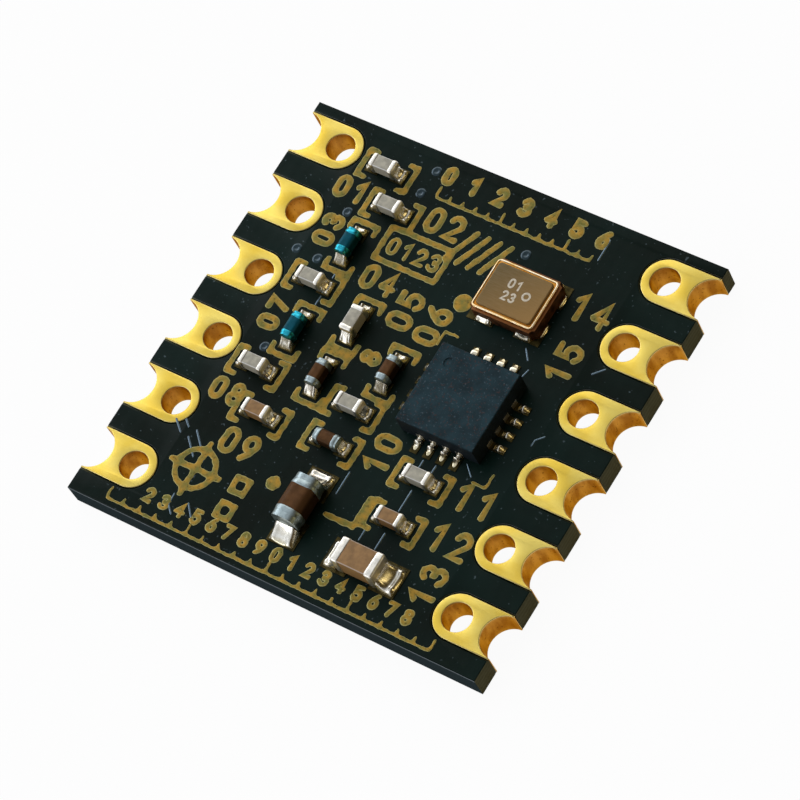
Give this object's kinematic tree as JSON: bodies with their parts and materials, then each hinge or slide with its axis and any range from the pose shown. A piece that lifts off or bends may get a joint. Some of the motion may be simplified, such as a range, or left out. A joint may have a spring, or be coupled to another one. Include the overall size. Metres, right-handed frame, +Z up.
{
  "type": "wireless transceiver module",
  "caption": "Small square radio module: dark circuit board with castellated plated pads on two edges, carrying a leadless chip, a crystal and chip passives.",
  "frame": {"origin": "middle of the board's underside", "axes": "+X from the left pad row to the right one, +Y along the rows towards the edge next to the crystal, +Z up out of the component side"},
  "size_m": [0.016, 0.0154, 0.0019],
  "materials": {
    "masked_laminate": "blue-black solder mask, satin gloss, over glass laminate",
    "gold_plate": "gold plating, bright satin",
    "sand_ceramic": "fired ceramic, satin",
    "tan_ceramic": "fired ceramic, satin",
    "teal_ceramic": "glazed ceramic, teal",
    "umber_ferrite": "coated ferrite, satin",
    "tin_plate": "bright tin plate",
    "teal_tin": "tin plate with a teal cast",
    "dull_tin": "dull grey-green tin plate",
    "moulding_compound": "matt slate moulding compound",
    "dark_ceramic": "dark fired ceramic",
    "quartz": "lapped quartz",
    "nickel_lid": "taupe metal lid, satin",
    "solder": "bright solder",
    "legend_ink": "olive-yellow printed ink"
  },
  "bodies": {
    "root": {"printed_circuit_board": "masked_laminate", "edge_pad_1": "gold_plate", "edge_pad_2": "gold_plate", "edge_pad_3": "gold_plate", "edge_pad_4": "gold_plate", "edge_pad_5": "gold_plate", "edge_pad_6": "gold_plate", "edge_pad_7": "gold_plate", "edge_pad_8": "gold_plate", "edge_pad_9": "gold_plate", "edge_pad_10": "gold_plate", "edge_pad_11": "gold_plate", "edge_pad_12": "gold_plate", "capacitor_1_body": "sand_ceramic", "capacitor_2_body": "sand_ceramic", "capacitor_3_body": "sand_ceramic", "capacitor_4_body": "sand_ceramic", "capacitor_5_body": "sand_ceramic", "capacitor_6_body": "tan_ceramic", "capacitor_7_body": "sand_ceramic", "capacitor_8_body": "sand_ceramic", "capacitor_9_body": "tan_ceramic", "capacitor_10_body": "tan_ceramic", "inductor_1_body": "teal_ceramic", "inductor_2_body": "teal_ceramic", "inductor_3_body": "umber_ferrite", "inductor_4_body": "umber_ferrite", "inductor_5_body": "umber_ferrite", "inductor_6_body": "umber_ferrite", "capacitor_1_ends": "tin_plate", "capacitor_2_ends": "tin_plate", "capacitor_3_ends": "tin_plate", "capacitor_4_ends": "tin_plate", "capacitor_5_ends": "tin_plate", "capacitor_6_ends": "tin_plate", "capacitor_7_ends": "tin_plate", "capacitor_8_ends": "tin_plate", "capacitor_9_ends": "tin_plate", "capacitor_10_ends": "tin_plate", "inductor_1_ends": "teal_tin", "inductor_2_ends": "teal_tin", "inductor_3_ends": "dull_tin", "inductor_4_ends": "dull_tin", "inductor_5_ends": "dull_tin", "inductor_6_ends": "dull_tin", "transceiver_body": "moulding_compound", "transceiver_leads": "tin_plate", "transceiver_ground_pad": "tin_plate", "crystal_base": "dark_ceramic", "crystal_blank": "quartz", "crystal_ring": "gold_plate", "crystal_lid": "nickel_lid", "crystal_terminals": "gold_plate", "component_lands": "solder", "chip_solder": "solder", "transceiver_solder": "solder", "crystal_solder": "solder", "legend_ink": "legend_ink"}
  },
  "joints": []
}
